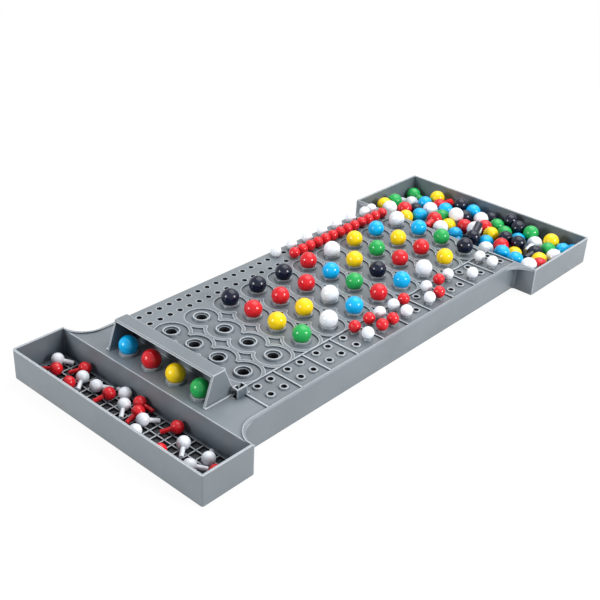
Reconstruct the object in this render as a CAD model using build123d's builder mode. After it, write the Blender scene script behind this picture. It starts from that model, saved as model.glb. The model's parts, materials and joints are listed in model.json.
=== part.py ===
from build123d import *
import math
import os

import numpy as np

# Code breaking peg game. Millimetres, +Z up.
# Origin: bottom centre of the board. +X runs along the board, from the key peg tray to the code
# peg tray. -Y is the side with the key peg holes, +Y the side with the score holes.

# Board
board_height = 20.0
near_tray_length = 34.7
far_tray_length = 73.5
flare_radius = 15.3
flare_foot_radius = 2.0
flare_plate = 1.8
tray_wall = 1.2
tray_floor = 1.6
near_tray_floor = 2.2
outer_corner_radius = 1.4
inner_corner_radius = 0.8
side_round = 1.2
foot_round = 0.8
lattice_pitch = 6.0
lattice_rib = 0.8
lattice_depth = 1.6
deck_plate = 3.4
rib = 1.6
relief_depth = 0.9
recess_rim = 2.0

# Code field: rows run across the board, four holes to a row
row_count = 10
row_pitch = 24.33
column_count = 4
column_pitch = 20.0
first_row_inset = 43.3
last_row_margin = 13.5
channel_radius = 10.3
channel_neck = 9.6
star_radius = 12.65

# Secret row, under the shield
secret_row_inset = 11.1
ledge_length = 28.8

# Key peg groups, two by two holes beside each row
key_margin = 14.33
key_offset = 20.77
key_shift = 0.55
key_spacing_x = 10.46
key_spacing_y = 10.2
key_panel_inset = 9.6
panel_ridge = 0.9

# Score holes, two long rows behind the code field
score_offset = 15.19
score_row_gap = 9.96
score_margin = 7.15
score_pitch = 8.01
score_lead = 3.52
score_end_margin = 6.0
score_cell_holes = 4

# Code peg
code_ball_radius = 5.7
code_stem_radius = 2.8
code_stem_length = 8.0
code_stem_chamfer = 0.4
code_split_width = 0.8
code_split_depth = 5.0

# Key peg
key_ball_radius = 3.85
key_stem_radius = 1.35
key_stem_length = 5.7
key_stem_chamfer = 0.25

# Peg holes and their collars
code_hole_play = 0.5
key_hole_play = 0.45
code_mouth_radius = 4.5
code_mouth_depth = 1.05
code_collar_radius = 6.0
code_collar_top_radius = 5.35
code_collar_rise = 0.7
key_collar_radius = 3.15
key_collar_top_radius = 2.65
key_collar_rise = 0.2
seat_gap = 0.1

# Code shield: an open trough, hinged at its rear foot
shield_end_room = 10.5
shield_wall = 1.3
shield_height = 18.0
shield_foot_gap = 0.2
shield_base_depth = 20.5
shield_front_lean = 6.5
shield_top_depth = 8.5
shield_cheek_height = 4.7
shield_lip_width = 1.0
shield_lip_height = 0.8
shield_lip_inset = 1.5
hinge_inset = 0.8
hinge_height = 2.5
hinge_reach = 3.4
hinge_barrel_radius = 1.3
hinge_pin_radius = 1.05
hinge_clearance = 0.07
hinge_side_gap = 0.3
hinge_slot_width = 1.5
hinge_slot_mouth = 3.3
hinge_slot_lead = 1.6
post_front = 5.1
post_back = 2.3
post_height = 5.9
post_thickness = 4.4
post_wall = 1.5
post_bar = 0.9
pit_length = 2.5

# Loose pegs in the trays
loose_gap = 0.1
heap_level = 14.0
heap_rise = 4.0
fall_step = 0.2
overrun = 5.0

# Colours of the pegs in each row, from the +Y column to the -Y column
secret_colours = ("blue", "red", "yellow", "green")
guess_colours = {
    3: ("black", "red", "yellow", "green"),
    4: ("black", "red", "yellow", "white"),
    5: ("black", "red", "white", "blue"),
    6: ("red", "blue", "green", "red"),
    7: ("white", "yellow", "black", "blue"),
    8: ("yellow", "green", "red", "white"),
    9: ("blue", "yellow", "red", "yellow"),
    10: ("white", "blue", "green", "black"),
}

# Key pegs of each guess. The four holes of a group are numbered by their corner.
key_corners = {"west": (-1, 1), "north": (1, 1), "east": (1, -1), "south": (-1, -1)}
key_colours = {
    4: {"north": "red", "east": "white"},
    5: {"west": "red", "north": "white", "east": "red", "south": "red"},
    6: {"west": "white", "north": "red", "south": "white"},
    7: {"north": "white", "east": "red", "south": "white"},
    8: {"west": "red", "north": "white"},
    9: {"south": "white"},
    10: {"west": "white", "south": "white"},
}

# Score pegs, counted back from the last hole of their row
red_score_steps = range(13)
white_score_steps = (0, 1, 3, 5, 7, 9, 11, 13)

key_peg_colours = ("red", "white")
code_peg_colours = ("red", "yellow", "green", "blue", "black", "white")

# Loose pegs: colour, share of the tray's inside length and width at which the ball is seen against its
# level, heading of the stem and its dip in degrees. The pegs that lie in front of others come later.
near_tray_shares = (
    ("white", 0.69, 0.955, -48, 15),
    ("red", 0.49, 0.905, 111, 15),
    ("red", 0.85, 0.835, 143, 15),
    ("white", 0.66, 0.795, -145, 15),
    ("red", 0.39, 0.8, 60, 15),
    ("white", 0.66, 0.715, -40, 15),
    ("red", 0.67, 0.645, 163, 15),
    ("white", 0.86, 0.605, 75, 15),
    ("white", 0.65, 0.555, -141, 15),
    ("red", 0.87, 0.525, -78, 15),
    ("red", 0.68, 0.485, -174, 15),
    ("white", 0.62, 0.445, -30, 15),
    ("white", 0.32, 0.41, 100, 15),
    ("red", 0.86, 0.325, 145, 15),
    ("red", 0.23, 0.27, 200, 15),
    ("white", 0.14, 0.18, 63, 15),
    ("white", 0.66, 0.245, -140, 15),
    ("white", 0.67, 0.125, 37, 15),
    ("white", 0.35, 0.142, -45, 15),
    ("red", 0.53, 0.06, 190, 15),
)
far_tray_shares = (
    ("green", 0.77, 0.92, 264, 10),
    ("green", 0.43, 0.93, -4, 45),
    ("yellow", 0.31, 0.94, 33, 30),
    ("white", 0.25, 0.89, 70, 60),
    ("yellow", 0.85, 0.80, 17, 45),
    ("blue", 0.66, 0.81, 54, 30),
    ("white", 0.57, 0.85, 101, 0),
    ("red", 0.33, 0.83, 1, 60),
    ("yellow", 0.19, 0.77, 38, 45),
    ("black", 0.43, 0.79, 75, 30),
    ("red", 0.72, 0.74, 354, 0),
    ("white", 0.53, 0.74, 22, 60),
    ("blue", 0.33, 0.74, 59, 45),
    ("black", 0.88, 0.67, 6, 30),
    ("blue", 0.62, 0.68, 43, 60),
    ("green", 0.51, 0.65, 80, 45),
    ("blue", 0.82, 0.58, 27, 30),
    ("white", 0.60, 0.61, 64, 60),
    ("black", 0.66, 0.57, 11, 45),
    ("yellow", 0.38, 0.58, 48, 30),
    ("white", 0.23, 0.58, 85, 60),
    ("red", 0.39, 0.66, 190, 5),
    ("white", 0.74, 0.50, 32, 45),
    ("black", 0.86, 0.47, 69, 30),
    ("black", 0.91, 0.40, 16, 60),
    ("red", 0.62, 0.43, 53, 45),
    ("red", 0.49, 0.52, 0, 30),
    ("white", 0.47, 0.46, 37, 60),
    ("green", 0.74, 0.39, 74, 45),
    ("green", 0.64, 0.33, 21, 30),
    ("black", 0.81, 0.32, 58, 60),
    ("yellow", 0.50, 0.37, 5, 45),
    ("blue", 0.27, 0.50, 240, 20),
    ("blue", 0.60, 0.25, 42, 30),
    ("green", 0.82, 0.25, 79, 60),
    ("black", 0.55, 0.29, 26, 45),
    ("blue", 0.33, 0.34, 63, 30),
    ("black", 0.30, 0.42, 16, -25),
    ("black", 0.49, 0.23, 10, 60),
    ("red", 0.36, 0.27, 47, 45),
    ("white", 0.20, 0.30, 84, 30),
    ("black", 0.48, 0.12, 184, 5),
    ("yellow", 0.81, 0.13, 31, 60),
    ("white", 0.68, 0.18, 185, 5),
    ("blue", 0.75, 0.05, 352, 5),
    ("green", 0.65, 0.10, 268, 10),
    ("yellow", 0.34, 0.19, 273, 15),
    ("blue", 0.23, 0.23, 68, 45),
    ("blue", 0.22, 0.15, 15, 30),
    ("white", 0.50, 0.04, 52, 60),
    ("white", 0.19, 0.08, 36, 30),
    ("red", 0.25, 0.04, 73, 60),
    ("yellow", 0.33, 0.07, -1, 45),
)
stem_beads = 6
sight_shares = (1.34, 1.16)
settle_rounds = 300
sight_pull = 0.2
turn_pull = 0.1
quiet_share = 0.2

# Positions that follow from the sizes above
rows_length = (row_count - 1) * row_pitch
board_length = near_tray_length + first_row_inset + rows_length + last_row_margin + far_tray_length
columns_width = (column_count - 1) * column_pitch
deck_width = key_margin + key_offset + columns_width + score_offset + score_row_gap + score_margin
tray_width = deck_width + 2 * flare_radius
near_x = -board_length / 2
ledge_x = near_x + near_tray_length
far_x = board_length / 2
far_tray_x = far_x - far_tray_length
near_flare_x = ledge_x + tray_wall
far_flare_x = far_tray_x - tray_wall
first_row_x = ledge_x + first_row_inset
secret_x = ledge_x + secret_row_inset
step_x = ledge_x + ledge_length
key_y = -deck_width / 2 + key_margin
front_column_y = key_y + key_offset
back_column_y = front_column_y + columns_width
field_y = (front_column_y + back_column_y) / 2
inner_score_y = back_column_y + score_offset
outer_score_y = inner_score_y + score_row_gap
first_score_x = first_row_x - score_lead
score_count = 1 + int((far_tray_x - score_end_margin - first_score_x) / score_pitch)
floor_z = board_height - relief_depth
ceiling_z = board_height - deck_plate

code_hole_radius = code_stem_radius + code_hole_play
key_hole_radius = key_stem_radius + key_hole_play
code_seat = math.sqrt(code_ball_radius**2 - code_hole_radius**2) + seat_gap
key_seat = math.sqrt(key_ball_radius**2 - key_hole_radius**2) + seat_gap
code_ball_z = board_height + code_collar_rise - code_mouth_depth + code_seat
key_ball_z = board_height + key_collar_rise + key_seat
score_ball_z = board_height + key_seat


def row_x(row):
    """X of a guess row, counted from 1 beside the shield."""
    return first_row_x + (row - 1) * row_pitch


def column_y(column):
    """Y of a column, counted from 0 at the +Y side."""
    return back_column_y - column * column_pitch


def score_x(step):
    """X of a score hole, counted back from the last one."""
    return first_score_x + (score_count - 1 - step) * score_pitch


def key_place(row, corner):
    """Centre of one key hole of a row's group."""
    side_x, side_y = key_corners[corner]
    return (row_x(row) + key_shift + side_x * key_spacing_x / 2, key_y + side_y * key_spacing_y / 2)


def save(part, name):
    """Label a finished piece and write it as its own file."""
    part.label = name
    export_step(part, f"parts/{name}.step")


os.makedirs("parts", exist_ok=True)
rows = range(1, row_count + 1)
columns = range(column_count)
code_places = [(row_x(row), column_y(column)) for row in rows for column in columns]
secret_places = [(secret_x, column_y(column)) for column in columns]
key_places = [key_place(row, corner) for row in rows for corner in key_corners]
score_places = [(score_x(step), y) for step in range(score_count) for y in (inner_score_y, outer_score_y)]

# Hinge of the shield, and the outline of the shield's cheeks
shield_length = columns_width + 2 * shield_end_room
shield_foot_z = floor_z + shield_foot_gap
shield_top_z = shield_foot_z + shield_height
hinge_x = step_x - hinge_inset
hinge_z = floor_z + hinge_height
cheek_x = hinge_x - hinge_reach
shield_front_x = cheek_x - shield_base_depth
cheek_z = shield_foot_z + shield_cheek_height
cheek_outline = (
    (shield_front_x, shield_foot_z),
    (shield_front_x + shield_front_lean, shield_top_z),
    (shield_front_x + shield_front_lean + shield_top_depth, shield_top_z),
    (cheek_x, cheek_z),
    (cheek_x, shield_foot_z),
)
post_inner_y = shield_length / 2 + shield_lip_width + hinge_side_gap
post_top_z = floor_z + post_height
pin_hole_radius = hinge_pin_radius + hinge_clearance
pin_hole_depth = post_thickness - post_wall

# Game board: one moulding with two trays, the peg deck and the ledge for the secret row
with BuildPart() as game_board:
    with BuildSketch() as foot_outline:
        with BuildLine():
            Polyline(
                (near_x, 0),
                (near_x, tray_width / 2),
                (near_flare_x, tray_width / 2),
                (near_flare_x, deck_width / 2),
                (far_flare_x, deck_width / 2),
                (far_flare_x, tray_width / 2),
                (far_x, tray_width / 2),
                (far_x, 0),
            )
            mirror(about=Plane.XZ)
        make_face()
        corner_lines = foot_outline.vertices().group_by(Axis.Y)
        fillet(corner_lines[1] + corner_lines[-2], radius=flare_foot_radius)
    extrude(amount=board_height)
    # The deck's plate flares out to the trays above the sharper corners of the side walls
    with BuildSketch(Plane.XY.offset(board_height - flare_plate)) as outline:
        with BuildLine():
            Polyline((near_x, 0), (near_x, tray_width / 2), (near_flare_x, tray_width / 2))
            near_arc = CenterArc((near_flare_x + flare_radius, tray_width / 2), flare_radius, 180, 90)
            far_arc = CenterArc((far_flare_x - flare_radius, tray_width / 2), flare_radius, 270, 90)
            Line(near_arc @ 1, far_arc @ 0)
            Polyline((far_flare_x, tray_width / 2), (far_x, tray_width / 2), (far_x, 0))
            mirror(about=Plane.XZ)
        make_face()
    extrude(amount=flare_plate)
    uprights = game_board.edges().filter_by(Axis.Z).group_by(Axis.X)
    fillet(uprights[0] + uprights[-1], radius=outer_corner_radius)
    foot_edges = game_board.edges().group_by(Axis.Z)[0]
    fillet(foot_edges, radius=foot_round)
    top_edges = game_board.edges().group_by(Axis.Z)[-1]
    deck_sides = top_edges.filter_by(lambda e: near_flare_x < e.center().X < far_flare_x)
    fillet(deck_sides, radius=side_round)

    # The two trays
    with BuildSketch(Plane.XY.offset(near_tray_floor)):
        with Locations(((near_x + tray_wall + ledge_x) / 2, 0)):
            RectangleRounded(
                near_tray_length - tray_wall, tray_width - 2 * tray_wall, inner_corner_radius
            )
    extrude(amount=board_height, mode=Mode.SUBTRACT)
    with BuildSketch(Plane.XY.offset(tray_floor)):
        with Locations(((far_tray_x + far_x - tray_wall) / 2, 0)):
            RectangleRounded(
                far_tray_length - tray_wall, tray_width - 2 * tray_wall, inner_corner_radius
            )
    extrude(amount=board_height, mode=Mode.SUBTRACT)
    near_tray_x = near_x + tray_wall
    lattice_columns = int((ledge_x - near_tray_x) / lattice_pitch)
    lattice_rows = int((tray_width - 2 * tray_wall) / lattice_pitch)
    with BuildSketch(Plane.XY.offset(near_tray_floor)):
        with Locations(((near_tray_x + ledge_x) / 2, 0)):
            with GridLocations(lattice_pitch, lattice_pitch, lattice_columns, lattice_rows):
                Rectangle(lattice_pitch - lattice_rib, lattice_pitch - lattice_rib)
    extrude(amount=-lattice_depth, mode=Mode.SUBTRACT)

    # Shallow relief of the deck: the ledge, a wavy channel along each row, the key panels and the
    # star pockets between the rows
    with BuildSketch(Plane.XY.offset(floor_z)):
        with BuildSketch(mode=Mode.PRIVATE) as ledge:
            add(outline.sketch_local)
            offset(amount=-recess_rim, kind=Kind.INTERSECTION)
            with Locations((step_x, 0)):
                Rectangle(
                    ledge_length + tray_wall, tray_width, align=(Align.MAX, Align.CENTER), mode=Mode.INTERSECT
                )
        add(ledge.sketch)
        with Locations(*code_places):
            Circle(channel_radius)
        with Locations(*[(row_x(row), field_y) for row in rows]):
            Rectangle(channel_neck, columns_width)
        panel_top_y = key_y + key_panel_inset
        panel_foot_y = recess_rim - deck_width / 2
        with Locations(*[(row_x(row) + key_shift, panel_foot_y) for row in rows]):
            Rectangle(
                row_pitch - panel_ridge,
                panel_top_y - panel_foot_y,
                align=(Align.CENTER, Align.MIN),
            )
        with BuildSketch(mode=Mode.PRIVATE) as star:
            Rectangle(row_pitch, column_pitch)
            with GridLocations(row_pitch, column_pitch, 2, 2):
                Circle(star_radius, mode=Mode.SUBTRACT)
        with Locations(((row_x(1) + row_x(row_count)) / 2, field_y)):
            with GridLocations(row_pitch, column_pitch, row_count - 1, column_count - 1):
                add(star.sketch)
    extrude(amount=relief_depth + overrun, mode=Mode.SUBTRACT)

    # Tapered collars that stand round the code and key holes
    with Locations(*[(x, y, floor_z) for x, y in code_places + secret_places]):
        Cone(
            code_collar_radius,
            code_collar_top_radius,
            relief_depth + code_collar_rise,
            align=(Align.CENTER, Align.CENTER, Align.MIN),
        )
    with Locations(*[(x, y, floor_z) for x, y in key_places]):
        Cone(
            key_collar_radius,
            key_collar_top_radius,
            relief_depth + key_collar_rise,
            align=(Align.CENTER, Align.CENTER, Align.MIN),
        )

    # The underside is open, with a grid of ribs between the holes
    with BuildSketch():
        with Locations(*code_places):
            Rectangle(row_pitch - rib, column_pitch - rib)
        ledge_cell = first_row_x - row_pitch / 2 - rib - ledge_x
        with Locations(*[(ledge_x + rib / 2 + ledge_cell / 2, column_y(column)) for column in columns]):
            Rectangle(ledge_cell - rib / 2, column_pitch - rib)
        key_cell_foot = rib - deck_width / 2
        key_cell_top = front_column_y - column_pitch / 2 - rib / 2
        with Locations(*[(row_x(row), key_cell_foot) for row in rows]):
            Rectangle(row_pitch - rib, key_cell_top - key_cell_foot, align=(Align.CENTER, Align.MIN))
        score_cell_foot = back_column_y + column_pitch / 2 + rib / 2
        score_cell_depth = deck_width / 2 - rib - score_cell_foot
        for first in range(0, score_count, score_cell_holes):
            holes = min(score_cell_holes, score_count - first)
            with Locations((score_x(first + holes / 2 - 1 / 2), score_cell_foot)):
                Rectangle(holes * score_pitch - rib, score_cell_depth, align=(Align.CENTER, Align.MIN))
    extrude(amount=ceiling_z, mode=Mode.SUBTRACT)

    # Peg holes, and the step in each code hole's mouth that the ball sits in
    collar_top_z = board_height + code_collar_rise
    with BuildSketch(Plane.XY.offset(collar_top_z)):
        with Locations(*code_places, *secret_places):
            Circle(code_hole_radius)
        with Locations(*key_places, *score_places):
            Circle(key_hole_radius)
    extrude(amount=ceiling_z - collar_top_z - overrun, mode=Mode.SUBTRACT)
    with BuildSketch(Plane.XY.offset(collar_top_z)):
        with Locations(*code_places, *secret_places):
            Circle(code_mouth_radius)
    extrude(amount=-code_mouth_depth, mode=Mode.SUBTRACT)

    # Hinge posts outside the cheeks of the shield. Each has a blind pin hole with a snap slot above it,
    # and a core pit behind its front face.
    for side in (-1, 1):
        inner_face = Plane.XZ.offset(-field_y - side * post_inner_y)
        with BuildSketch(inner_face):
            with Locations((hinge_x - post_front, floor_z)):
                Rectangle(post_front + post_back, post_height, align=(Align.MIN, Align.MIN))
        extrude(amount=-side * post_thickness)
        with BuildSketch(inner_face):
            with Locations((hinge_x, hinge_z)):
                Circle(pin_hole_radius)
                Rectangle(hinge_slot_width, post_height, align=(Align.CENTER, Align.MIN))
            with BuildLine():
                Polyline(
                    (hinge_x - hinge_slot_width / 2, post_top_z - hinge_slot_lead),
                    (hinge_x + hinge_slot_width / 2, post_top_z - hinge_slot_lead),
                    (hinge_x + hinge_slot_mouth / 2, post_top_z),
                    (hinge_x - hinge_slot_mouth / 2, post_top_z),
                    close=True,
                )
            make_face()
            with Locations((hinge_x - post_front, ceiling_z)):
                Rectangle(pit_length, post_top_z - post_bar - ceiling_z, align=(Align.MIN, Align.MIN))
        extrude(amount=-side * pin_hole_depth, mode=Mode.SUBTRACT)

save(game_board.part, "game_board")

# Code shield
with BuildPart() as code_shield:
    with BuildSketch(Plane.XZ.offset(-field_y)):
        with BuildLine():
            Polyline(*cheek_outline, close=True)
        make_face()
    extrude(amount=shield_length / 2, both=True)
    # The trough is open to the front and below: its hollow runs out past the front edges
    inner_top_z = shield_top_z - shield_wall
    with BuildSketch(Plane.XZ.offset(-field_y)):
        with BuildLine():
            rear_run = cheek_outline[3][0] - cheek_outline[2][0]
            rear_drop = cheek_outline[2][1] - cheek_outline[3][1]
            wall_x = shield_wall * math.hypot(rear_run, rear_drop) / rear_drop
            Polyline(
                (shield_front_x - overrun, shield_foot_z - overrun),
                (shield_front_x - overrun, inner_top_z),
                (cheek_outline[2][0] - wall_x + rear_run * shield_wall / rear_drop, inner_top_z),
                (cheek_outline[3][0] - wall_x, cheek_outline[3][1]),
                (cheek_outline[3][0] - wall_x, shield_foot_z - overrun),
                close=True,
            )
        make_face()
    extrude(amount=shield_length / 2 - shield_wall, both=True, mode=Mode.SUBTRACT)
    # Lip along the foot of each cheek
    with BuildSketch(Plane.XY.offset(shield_foot_z)):
        with Locations((shield_front_x, field_y)):
            Rectangle(
                shield_base_depth - shield_lip_inset,
                shield_length + 2 * shield_lip_width,
                align=(Align.MIN, Align.CENTER),
            )
            Rectangle(
                shield_base_depth,
                shield_length - 2 * shield_wall,
                align=(Align.MIN, Align.CENTER),
                mode=Mode.SUBTRACT,
            )
    extrude(amount=shield_lip_height)
    # The rear wall reaches back to the hinge barrel, whose pins end in the posts
    with BuildSketch(Plane.XZ.offset(-field_y)):
        with BuildLine():
            Polyline(
                (cheek_x - wall_x, cheek_z),
                (cheek_x, cheek_z),
                (hinge_x, hinge_z + hinge_barrel_radius),
                (hinge_x - hinge_barrel_radius, hinge_z),
                close=True,
            )
        make_face()
        with Locations((hinge_x, hinge_z)):
            Circle(hinge_barrel_radius)
    extrude(amount=shield_length / 2, both=True)
    with BuildSketch(Plane.XZ.offset(-field_y)):
        with Locations((hinge_x, hinge_z)):
            Circle(hinge_pin_radius)
    extrude(amount=post_inner_y + pin_hole_depth - hinge_side_gap, both=True)

save(code_shield.part, "code_shield")

# Code peg: a ball on a split stem, drawn with the middle of its ball at the origin
with BuildPart() as code_peg:
    Sphere(code_ball_radius)
    code_peg_length = code_ball_radius + code_stem_length
    Cylinder(code_stem_radius, code_peg_length, align=(Align.CENTER, Align.CENTER, Align.MAX))
    chamfer(code_peg.edges().group_by(Axis.Z)[0], length=code_stem_chamfer)
    with Locations((0, 0, -code_peg_length)):
        Box(
            2 * code_stem_radius,
            code_split_width,
            code_split_depth,
            align=(Align.CENTER, Align.CENTER, Align.MIN),
            mode=Mode.SUBTRACT,
        )

# Key peg, the same but smaller and with a plain stem
with BuildPart() as key_peg:
    Sphere(key_ball_radius)
    key_peg_length = key_ball_radius + key_stem_length
    Cylinder(key_stem_radius, key_peg_length, align=(Align.CENTER, Align.CENTER, Align.MAX))
    chamfer(key_peg.edges().group_by(Axis.Z)[0], length=key_stem_chamfer)

# Secret code and guesses, each peg a piece of its own
for column, colour in enumerate(secret_colours):
    with BuildPart() as secret_peg:
        with Locations((secret_x, column_y(column), code_ball_z)):
            add(code_peg.part)
    save(secret_peg.part, f"secret_peg_c{column + 1}_{colour}")

for row, colours in guess_colours.items():
    for column, colour in enumerate(colours):
        with BuildPart() as guess_peg:
            with Locations((row_x(row), column_y(column), code_ball_z)):
                add(code_peg.part)
        save(guess_peg.part, f"guess_peg_r{row:02}_c{column + 1}_{colour}")

# Key pegs of each guess, those of one colour together
for row, corners in key_colours.items():
    for colour in key_peg_colours:
        chosen = [(*key_place(row, corner), key_ball_z) for corner in corners if corners[corner] == colour]
        if chosen:
            with BuildPart() as key_pegs:
                with Locations(*chosen):
                    add(key_peg.part)
            save(key_pegs.part, f"key_pegs_r{row:02}_{colour}")

# Score pegs
with BuildPart() as score_pegs_red:
    with Locations(*[(score_x(step), inner_score_y, score_ball_z) for step in red_score_steps]):
        add(key_peg.part)
save(score_pegs_red.part, "score_pegs_red")

with BuildPart() as score_pegs_white:
    with Locations(*[(score_x(step), outer_score_y, score_ball_z) for step in white_score_steps]):
        add(key_peg.part)
save(score_pegs_white.part, "score_pegs_white")


def settle_pegs(ball_radius, stem_radius, stem_length, low, high, level, rise, places):
    """Let the loose pegs of a tray settle and give their locations.

    A peg is a row of beads that just encloses it. All start on their lines of sight round this level,
    the later ones higher. In each round they fall a little, turn back towards their lines and headings,
    and give way to one another and to the tray.
    """
    spacing = stem_length / stem_beads
    steps = np.array([0, *[ball_radius + spacing * (bead + 1 / 2) for bead in range(stem_beads)]])
    radii = np.array([ball_radius, *[math.hypot(stem_radius, spacing / 2)] * stem_beads])
    reaches = radii[:, None, None] + radii + loose_gap
    same_peg = np.eye(len(places), dtype=bool)[:, None, :, None]

    share_x, share_y, *turns = np.array(places).T
    headings, dips = np.radians(turns)
    wanted = np.column_stack(
        (np.cos(headings) * np.cos(dips), np.sin(headings) * np.cos(dips), -np.sin(dips))
    )
    seen = low[:2] + (high - low)[:2] * np.column_stack((share_x, share_y))
    climbs = np.linspace(-rise, rise, len(places))
    balls = np.column_stack((seen - np.outer(climbs, sight_shares), level + climbs))
    axes = wanted
    for left in np.linspace(1, 0, settle_rounds):
        if left > quiet_share:
            misses = seen + np.outer(level - balls[:, 2], sight_shares) - balls[:, :2]
            balls += np.column_stack((misses, misses @ sight_shares)) * sight_pull
            axes = axes + (wanted - axes) * turn_pull
        balls -= (0, 0, fall_step * left)

        beads = balls[:, None] + steps[:, None] * axes[:, None]
        apart = beads[:, :, None, None] - beads
        distances = np.maximum(np.linalg.norm(apart, axis=-1), loose_gap)
        pushes = np.where(same_peg, 0, np.maximum(reaches - distances, 0) / distances)
        gives = (apart * pushes[..., None]).sum(axis=(2, 3)) / 2
        gives[:, 0] += np.clip(balls, low + ball_radius, high - ball_radius) - balls
        ends = balls + axes * (ball_radius + stem_length)
        end_reach = stem_radius * np.sqrt(np.maximum(1 - axes**2, 0)) + loose_gap
        gives[:, -1] += np.clip(ends, low + end_reach, high - end_reach) - ends

        balls += gives.sum(axis=1) / 2
        axes = axes + (gives * steps[:, None]).sum(axis=1) / (steps**2).sum()
        axes /= np.linalg.norm(axes, axis=1)[:, None]
    upright = np.array((0, 0, 1))
    return [
        Plane(origin=tuple(ball), x_dir=tuple(np.cross(upright, axis)), z_dir=tuple(-axis)).location
        for ball, axis in zip(balls, axes)
    ]


# Loose key pegs in the near tray
near_low = np.array((near_x + tray_wall, tray_wall - tray_width / 2, near_tray_floor))
near_high = np.array((ledge_x, tray_width / 2 - tray_wall, math.inf))
key_lies = settle_pegs(
    key_ball_radius,
    key_stem_radius,
    key_stem_length,
    near_low,
    near_high,
    near_tray_floor + key_ball_radius,
    0,
    [place for _, *place in near_tray_shares],
)
for colour in key_peg_colours:
    chosen = [lie for lie, (name, *_) in zip(key_lies, near_tray_shares) if name == colour]
    with BuildPart() as tray_key_pegs:
        with Locations(*chosen):
            add(key_peg.part)
    save(tray_key_pegs.part, f"tray_key_pegs_{colour}")

# Heap of code pegs in the far tray
far_low = np.array((far_tray_x, tray_wall - tray_width / 2, tray_floor))
far_high = np.array((far_x - tray_wall, tray_width / 2 - tray_wall, math.inf))
code_lies = settle_pegs(
    code_ball_radius,
    code_stem_radius,
    code_stem_length,
    far_low,
    far_high,
    heap_level,
    heap_rise,
    [place for _, *place in far_tray_shares],
)
for colour in code_peg_colours:
    chosen = [lie for lie, (name, *_) in zip(code_lies, far_tray_shares) if name == colour]
    with BuildPart() as tray_code_pegs:
        with Locations(*chosen):
            add(code_peg.part)
    save(tray_code_pegs.part, f"tray_code_pegs_{colour}")
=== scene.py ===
"""Code breaking peg game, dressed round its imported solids. Metres, +Z up.

The two grey mouldings keep the shapes of their solids, with the finest pockets cut here. The pegs
are modelled anew, once for each size, and copied to the places of the solids.
"""
import json
import logging
import math
from abc import ABC, abstractmethod
from dataclasses import dataclass, replace
from enum import Enum
from typing import Any, Callable, Iterator, Optional, Sequence, Union

import bmesh
import bpy
import numpy as np
from mathutils import Matrix, Vector


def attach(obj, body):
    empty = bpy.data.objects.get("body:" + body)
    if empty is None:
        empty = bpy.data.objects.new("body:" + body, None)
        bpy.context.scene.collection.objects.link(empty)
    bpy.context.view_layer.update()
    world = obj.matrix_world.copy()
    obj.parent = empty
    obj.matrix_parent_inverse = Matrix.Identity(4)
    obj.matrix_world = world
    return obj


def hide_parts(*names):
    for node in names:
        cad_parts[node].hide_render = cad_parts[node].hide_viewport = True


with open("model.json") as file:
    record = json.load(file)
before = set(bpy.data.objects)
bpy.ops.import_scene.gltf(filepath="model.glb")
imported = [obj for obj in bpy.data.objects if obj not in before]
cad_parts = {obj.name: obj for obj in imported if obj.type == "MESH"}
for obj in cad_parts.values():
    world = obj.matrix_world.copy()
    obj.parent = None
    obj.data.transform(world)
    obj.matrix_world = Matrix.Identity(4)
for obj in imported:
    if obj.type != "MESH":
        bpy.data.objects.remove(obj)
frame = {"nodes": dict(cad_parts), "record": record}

logging.basicConfig(level=logging.INFO, format="%(message)s")
log = logging.getLogger("peg_game")

MM = 0.001
SKIN = 0.05 * MM
MERGE_DISTANCE = 0.002 * MM

Colour = tuple[float, float, float]
Place = Union[Vector, tuple[float, float, float]]
Stops = tuple[tuple[float, float], ...]
Value = Union["Socket", float, int, Sequence[float]]


class Finish(Enum):
    """The record's material slots."""

    GREY = "grey_plastic"
    RED = "peg_red"
    YELLOW = "peg_yellow"
    GREEN = "peg_green"
    BLUE = "peg_blue"
    BLACK = "peg_black"
    WHITE = "peg_white"


class PegKind(Enum):
    """The two sizes of peg."""

    CODE = "code"
    KEY = "key"


# ---------------------------------------------------------------- shader maths


class Socket:
    """A node's output, on which Python's operators add Math nodes."""

    def __init__(self, nodes: "Nodes", link: bpy.types.NodeSocket) -> None:
        """Keep the output and the tree that it is in."""
        self.nodes = nodes
        self.link = link

    def _maths(self, operation: str, *values: Value) -> "Socket":
        """Add one Math node.

        Args:
            operation: The Math node's operation.
            values: Its inputs in order.

        Returns:
            The node's result.
        """
        return self.nodes.add("ShaderNodeMath", {"operation": operation}, dict(enumerate(values)))

    def __add__(self, other: Value) -> "Socket":
        """Sum."""
        return self._maths("ADD", self, other)

    def __sub__(self, other: Value) -> "Socket":
        """Difference."""
        return self._maths("SUBTRACT", self, other)

    def __rsub__(self, other: Value) -> "Socket":
        """Difference the other way round."""
        return self._maths("SUBTRACT", other, self)

    def __mul__(self, other: Value) -> "Socket":
        """Product."""
        return self._maths("MULTIPLY", self, other)

    def __truediv__(self, other: Value) -> "Socket":
        """Quotient."""
        return self._maths("DIVIDE", self, other)

    def __lt__(self, other: Value) -> "Socket":
        """One where the value is under another, else nought."""
        return self._maths("LESS_THAN", self, other)

    def __gt__(self, other: Value) -> "Socket":
        """One where the value is over another, else nought."""
        return self._maths("GREATER_THAN", self, other)

    def __abs__(self) -> "Socket":
        """Size without the sign."""
        return self._maths("ABSOLUTE", self)

    def folded(self, reach: float) -> "Socket":
        """Distance from the nearest even multiple of a reach."""
        return self._maths("PINGPONG", self, reach)

    __radd__ = __add__
    __rmul__ = __mul__


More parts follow.
